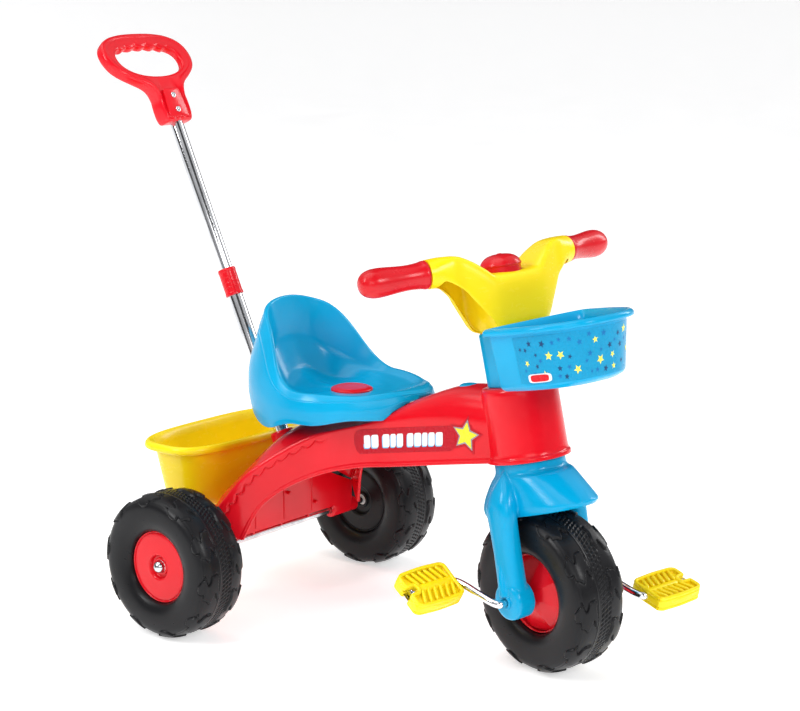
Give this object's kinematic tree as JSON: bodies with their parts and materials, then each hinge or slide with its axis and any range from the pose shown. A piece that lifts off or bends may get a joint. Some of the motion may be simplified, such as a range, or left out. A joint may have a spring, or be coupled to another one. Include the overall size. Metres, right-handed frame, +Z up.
{
  "type": "children's tricycle",
  "caption": "Plastic pedal tricycle with a tub seat, steered pedal-driven front wheel, front basket, rear bucket and removable push bar with a looped handle.",
  "frame": {"origin": "on the floor, at the middle of the whole tricycle's box", "axes": "+Z up, -Y the way the tricycle faces (front wheel, basket), +Y towards the push handle, +X the rider's left"},
  "size_m": [0.5038, 0.9016, 0.8004],
  "materials": {
    "red_plastic": "glossy moulded",
    "blue_plastic": "glossy moulded",
    "yellow_plastic": "glossy moulded",
    "black_tyre": "satin, hollow moulded tyre",
    "dark_plastic": "satin",
    "white_plastic": "satin",
    "steel": "bright plated"
  },
  "bodies": {
    "body": {"frame_body": "red_plastic", "body_cap": "blue_plastic", "rear_axle": "steel", "axle_nut_right": "steel", "axle_nut_left": "steel", "seat": "blue_plastic", "seat_knob": "red_plastic", "head_bush_lower": "white_plastic", "head_bush_upper": "white_plastic"},
    "bucket": {"bucket": "yellow_plastic"},
    "push_bar": {"push_bar_lower": "steel", "push_bar_upper": "steel", "bar_collar": "red_plastic", "push_handle_front": "red_plastic", "push_handle_rear": "red_plastic", "handle_screw_lower": "steel", "handle_screw_upper": "steel"},
    "steering": {"fork": "blue_plastic", "fork_bush_right": "white_plastic", "fork_bush_left": "white_plastic", "steering_post": "steel", "handlebar": "yellow_plastic", "grip_right": "red_plastic", "grip_left": "red_plastic", "horn_squeaker": "dark_plastic", "handlebar_screw": "steel", "basket": "blue_plastic"},
    "horn": {"horn_button": "red_plastic"},
    "front_wheel": {"front_tyre": "black_tyre", "front_hub_left": "red_plastic", "front_hub_right": "red_plastic", "crank_rod": "steel", "pedal_cap_right": "steel", "pedal_cap_left": "steel"},
    "pedal_right": {"pedal_right": "yellow_plastic"},
    "pedal_left": {"pedal_left": "yellow_plastic"},
    "rear_wheel_right": {"rear_tyre_right": "black_tyre", "rear_hub_outer_right": "red_plastic", "rear_hub_inner_right": "dark_plastic", "rear_wheel_bush_right": "white_plastic"},
    "rear_wheel_left": {"rear_tyre_left": "black_tyre", "rear_hub_outer_left": "red_plastic", "rear_hub_inner_left": "dark_plastic", "rear_wheel_bush_left": "white_plastic"}
  },
  "joints": [
    {"name": "steering_turn", "type": "hinge", "parent": "body", "child": "steering", "pos_m": [0, -0.31196, 0.10657], "axis": [0, 0.1959, 0.9806], "range_deg": [-31.8, 58.2]},
    {"name": "horn_press", "type": "slide", "parent": "steering", "child": "horn", "axis": [0, -0.1959, -0.9806], "range_m": [0, 0.004], "stiffness_N_per_m": 400, "springref_m": -0.001},
    {"name": "front_wheel_spin", "type": "hinge", "parent": "steering", "child": "front_wheel", "pos_m": [0, -0.31196, 0.10657], "axis": [0.9736, -0.2238, 0.0447], "continuous": true},
    {"name": "pedal_right_spin", "type": "hinge", "parent": "front_wheel", "child": "pedal_right", "pos_m": [-0.12189, -0.21005, 0.11726], "axis": [0.9736, -0.2238, 0.0447], "continuous": true},
    {"name": "pedal_left_spin", "type": "hinge", "parent": "front_wheel", "child": "pedal_left", "pos_m": [0.12189, -0.41387, 0.09588], "axis": [0.9736, -0.2238, 0.0447], "continuous": true},
    {"name": "rear_wheel_right_spin", "type": "hinge", "parent": "body", "child": "rear_wheel_right", "pos_m": [-0.2109, 0.16124, 0.1], "axis": [1, 0, 0], "continuous": true},
    {"name": "rear_wheel_left_spin", "type": "hinge", "parent": "body", "child": "rear_wheel_left", "pos_m": [0.2109, 0.16124, 0.1], "axis": [1, 0, 0], "continuous": true},
    {"name": "bucket_lift", "type": "slide", "parent": "body", "child": "bucket", "axis": [0, 0.4202, 0.9075], "range_m": [0, 0.12]},
    {"name": "push_bar_pull", "type": "slide", "parent": "body", "child": "push_bar", "axis": [0, 0.4202, 0.9075], "range_m": [0, 0.12]}
  ]
}
